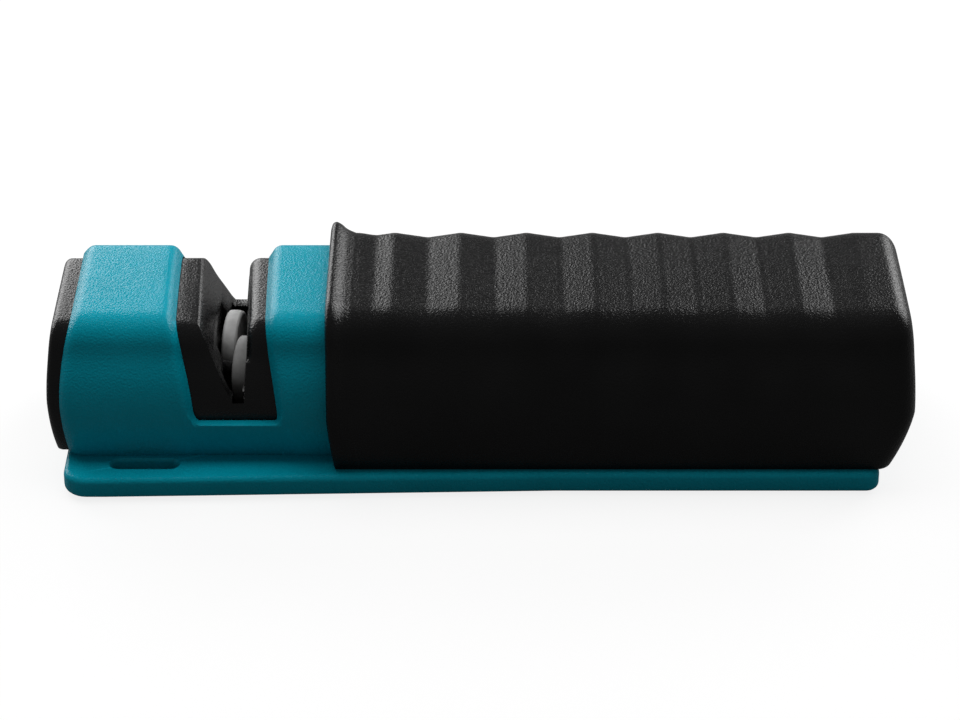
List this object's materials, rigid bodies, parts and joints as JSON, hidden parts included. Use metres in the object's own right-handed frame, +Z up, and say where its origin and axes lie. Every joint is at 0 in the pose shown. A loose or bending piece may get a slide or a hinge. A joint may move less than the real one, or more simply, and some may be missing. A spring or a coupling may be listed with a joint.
{
  "type": "knife sharpener",
  "caption": "Hand-held knife sharpener: teal head with a slot between two turning ceramic wheels, black waved grip, and a base plate with hanging slots",
  "frame": {"origin": "middle of the footprint, on the surface that the rubber feet stand on", "axes": "+X from the head to the grip end, +Y away from the viewer, along the knife slot, +Z up"},
  "size_m": [0.1848, 0.0628, 0.0412],
  "materials": {
    "teal_plastic": "fine spark-eroded texture",
    "black_plastic": "fine spark-eroded texture",
    "soft_grip": "fine grained",
    "ceramic": "fine matt ceramic",
    "nylon": "natural",
    "steel": "plain",
    "rubber": "matt"
  },
  "bodies": {
    "body": {"base_plate": "teal_plastic", "head_shell": "teal_plastic", "end_cap": "black_plastic", "knife_guide": "black_plastic", "wheel_cradle": "black_plastic", "rear_axle": "steel", "front_axle": "steel", "rear_washers": "steel", "front_washers": "steel", "left_block": "black_plastic", "right_block": "black_plastic", "grip_core": "black_plastic", "grip_sleeve": "soft_grip", "head_screws": "steel", "grip_screws": "steel", "short_screws": "steel", "rubber_feet": "rubber"},
    "rear_roller": {"rear_wheel": "ceramic", "rear_bush": "nylon"},
    "front_roller": {"front_wheel": "ceramic", "front_bush": "nylon"}
  },
  "joints": [
    {"name": "rear_wheel_turn", "type": "hinge", "parent": "body", "child": "rear_roller", "pos_m": [-0.05394, 0.0058, 0.0178], "axis": [0.9903, -0.1392, 0], "continuous": true},
    {"name": "front_wheel_turn", "type": "hinge", "parent": "body", "child": "front_roller", "pos_m": [-0.05094, -0.0058, 0.0178], "axis": [0.9903, -0.1392, 0], "continuous": true}
  ]
}
